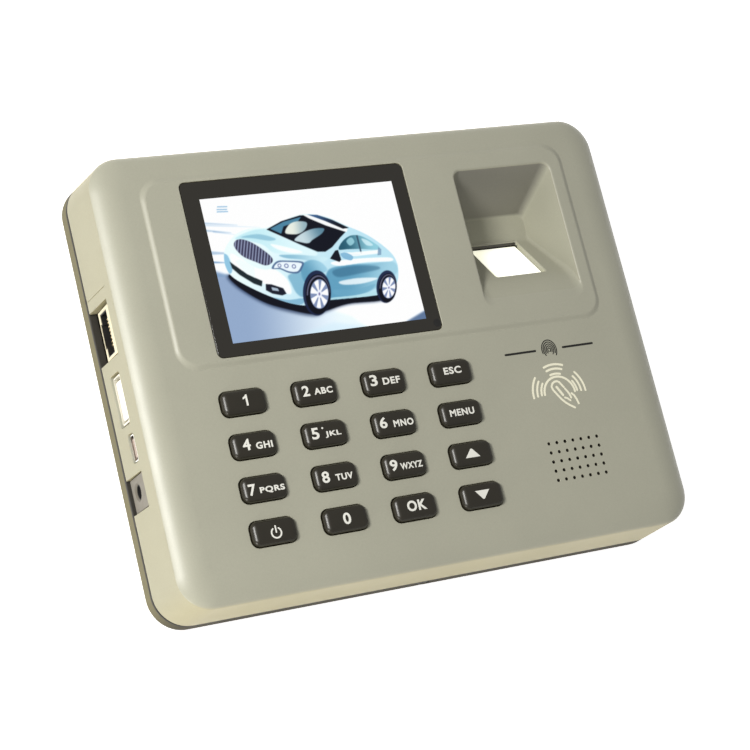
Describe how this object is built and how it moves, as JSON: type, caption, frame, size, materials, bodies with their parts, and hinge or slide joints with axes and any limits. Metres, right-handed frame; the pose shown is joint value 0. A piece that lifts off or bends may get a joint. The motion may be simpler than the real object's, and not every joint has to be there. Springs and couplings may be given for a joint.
{
  "type": "fingerprint scanner terminal",
  "caption": "Flat wall terminal with a recessed fingerprint reader, a colour display, a key pad, a speaker grille and sockets in its left wall.",
  "frame": {"origin": "centre of the back, on the plane that the terminal rests on", "axes": "+Z out of the front face, +Y towards the top edge, +X towards the right side; the terminal lies on its back"},
  "size_m": [0.1592, 0.1262, 0.0286],
  "materials": {
    "case_front": "satin silver-beige paint on moulded plastic",
    "case_rear": "fine-textured moulded plastic, tan",
    "plate_steel": "zinc-plated sheet steel",
    "screw_steel": "bright zinc plating",
    "lens": "hard-coated acrylic with a black printed border",
    "key_plastic": "dark brown-black moulded keycaps, light gloss",
    "rubber_grey": "matt silicone rubber",
    "foam_black": "closed-cell foam",
    "window_glass": "polished prism glass, lit from behind",
    "black_plastic": "matt black moulding",
    "board_green": "solder mask",
    "shield_tin": "tin-plated sheet",
    "lcd_panel": "lit display glass",
    "diffuser": "white diffuser",
    "ribbon": "flat flexible cable",
    "speaker_cone": "coated paper cone",
    "magnet": "plated magnet",
    "lead_red": "PVC insulation",
    "jack_shield": "tin-plated brass shield, warm tint",
    "gold": "gold-plated contacts",
    "usb_shell": "bright nickel shell",
    "white_plastic": "white moulded insulator",
    "dc_plastic": "dark grey moulded socket",
    "battery": "nickel-plated cell"
  },
  "bodies": {
    "root": {"front_cover": "case_front", "rear_cover": "case_rear", "wall_plate": "plate_steel", "plate_lock_screw": "screw_steel", "display_lens": "lens", "lens_gasket": "foam_black", "lcd_frame": "shield_tin", "lcd_backlight": "diffuser", "lcd_glass": "lcd_panel", "lcd_ribbon": "ribbon", "sensor_window": "window_glass", "sensor_gasket": "foam_black", "sensor_housing": "black_plastic", "sensor_board": "board_green", "sensor_cable": "ribbon", "keypad_mat": "rubber_grey", "keypad_board": "board_green", "keypad_ribbon": "ribbon", "speaker_mesh": "black_plastic", "speaker_basket": "shield_tin", "speaker_cone": "speaker_cone", "speaker_magnet": "magnet", "speaker_lead": "lead_red", "antenna_board": "board_green", "main_board": "board_green", "processor_shield": "shield_tin", "coin_cell_holder": "black_plastic", "coin_cell": "battery", "ethernet_jack": "jack_shield", "ethernet_contacts": "gold", "usb_a_shell": "usb_shell", "usb_a_tongue": "white_plastic", "micro_usb_shell": "usb_shell", "micro_usb_tongue": "black_plastic", "dc_jack": "dc_plastic", "dc_jack_pin": "screw_steel", "case_screw_1": "screw_steel", "board_screw_1": "screw_steel", "case_screw_2": "screw_steel", "board_screw_2": "screw_steel", "case_screw_3": "screw_steel", "board_screw_3": "screw_steel", "case_screw_4": "screw_steel", "board_screw_4": "screw_steel"},
    "key_1_body": {"key_1": "key_plastic"},
    "key_2_body": {"key_2": "key_plastic"},
    "key_3_body": {"key_3": "key_plastic"},
    "key_esc_body": {"key_esc": "key_plastic"},
    "key_4_body": {"key_4": "key_plastic"},
    "key_5_body": {"key_5": "key_plastic"},
    "key_6_body": {"key_6": "key_plastic"},
    "key_menu_body": {"key_menu": "key_plastic"},
    "key_7_body": {"key_7": "key_plastic"},
    "key_8_body": {"key_8": "key_plastic"},
    "key_9_body": {"key_9": "key_plastic"},
    "key_up_body": {"key_up": "key_plastic"},
    "key_power_body": {"key_power": "key_plastic"},
    "key_0_body": {"key_0": "key_plastic"},
    "key_ok_body": {"key_ok": "key_plastic"},
    "key_down_body": {"key_down": "key_plastic"}
  },
  "joints": [
    {"name": "key_1_press", "type": "slide", "parent": "root", "child": "key_1_body", "axis": [0, 0, -1], "range_m": [0, 0.0009], "stiffness_N_per_m": 400},
    {"name": "key_2_press", "type": "slide", "parent": "root", "child": "key_2_body", "axis": [0, 0, -1], "range_m": [0, 0.0009], "stiffness_N_per_m": 400},
    {"name": "key_3_press", "type": "slide", "parent": "root", "child": "key_3_body", "axis": [0, 0, -1], "range_m": [0, 0.0009], "stiffness_N_per_m": 400},
    {"name": "key_esc_press", "type": "slide", "parent": "root", "child": "key_esc_body", "axis": [0, 0, -1], "range_m": [0, 0.0009], "stiffness_N_per_m": 400},
    {"name": "key_4_press", "type": "slide", "parent": "root", "child": "key_4_body", "axis": [0, 0, -1], "range_m": [0, 0.0009], "stiffness_N_per_m": 400},
    {"name": "key_5_press", "type": "slide", "parent": "root", "child": "key_5_body", "axis": [0, 0, -1], "range_m": [0, 0.0009], "stiffness_N_per_m": 400},
    {"name": "key_6_press", "type": "slide", "parent": "root", "child": "key_6_body", "axis": [0, 0, -1], "range_m": [0, 0.0009], "stiffness_N_per_m": 400},
    {"name": "key_menu_press", "type": "slide", "parent": "root", "child": "key_menu_body", "axis": [0, 0, -1], "range_m": [0, 0.0009], "stiffness_N_per_m": 400},
    {"name": "key_7_press", "type": "slide", "parent": "root", "child": "key_7_body", "axis": [0, 0, -1], "range_m": [0, 0.0009], "stiffness_N_per_m": 400},
    {"name": "key_8_press", "type": "slide", "parent": "root", "child": "key_8_body", "axis": [0, 0, -1], "range_m": [0, 0.0009], "stiffness_N_per_m": 400},
    {"name": "key_9_press", "type": "slide", "parent": "root", "child": "key_9_body", "axis": [0, 0, -1], "range_m": [0, 0.0009], "stiffness_N_per_m": 400},
    {"name": "key_up_press", "type": "slide", "parent": "root", "child": "key_up_body", "axis": [0, 0, -1], "range_m": [0, 0.0009], "stiffness_N_per_m": 400},
    {"name": "key_power_press", "type": "slide", "parent": "root", "child": "key_power_body", "axis": [0, 0, -1], "range_m": [0, 0.0009], "stiffness_N_per_m": 400},
    {"name": "key_0_press", "type": "slide", "parent": "root", "child": "key_0_body", "axis": [0, 0, -1], "range_m": [0, 0.0009], "stiffness_N_per_m": 400},
    {"name": "key_ok_press", "type": "slide", "parent": "root", "child": "key_ok_body", "axis": [0, 0, -1], "range_m": [0, 0.0009], "stiffness_N_per_m": 400},
    {"name": "key_down_press", "type": "slide", "parent": "root", "child": "key_down_body", "axis": [0, 0, -1], "range_m": [0, 0.0009], "stiffness_N_per_m": 400}
  ]
}
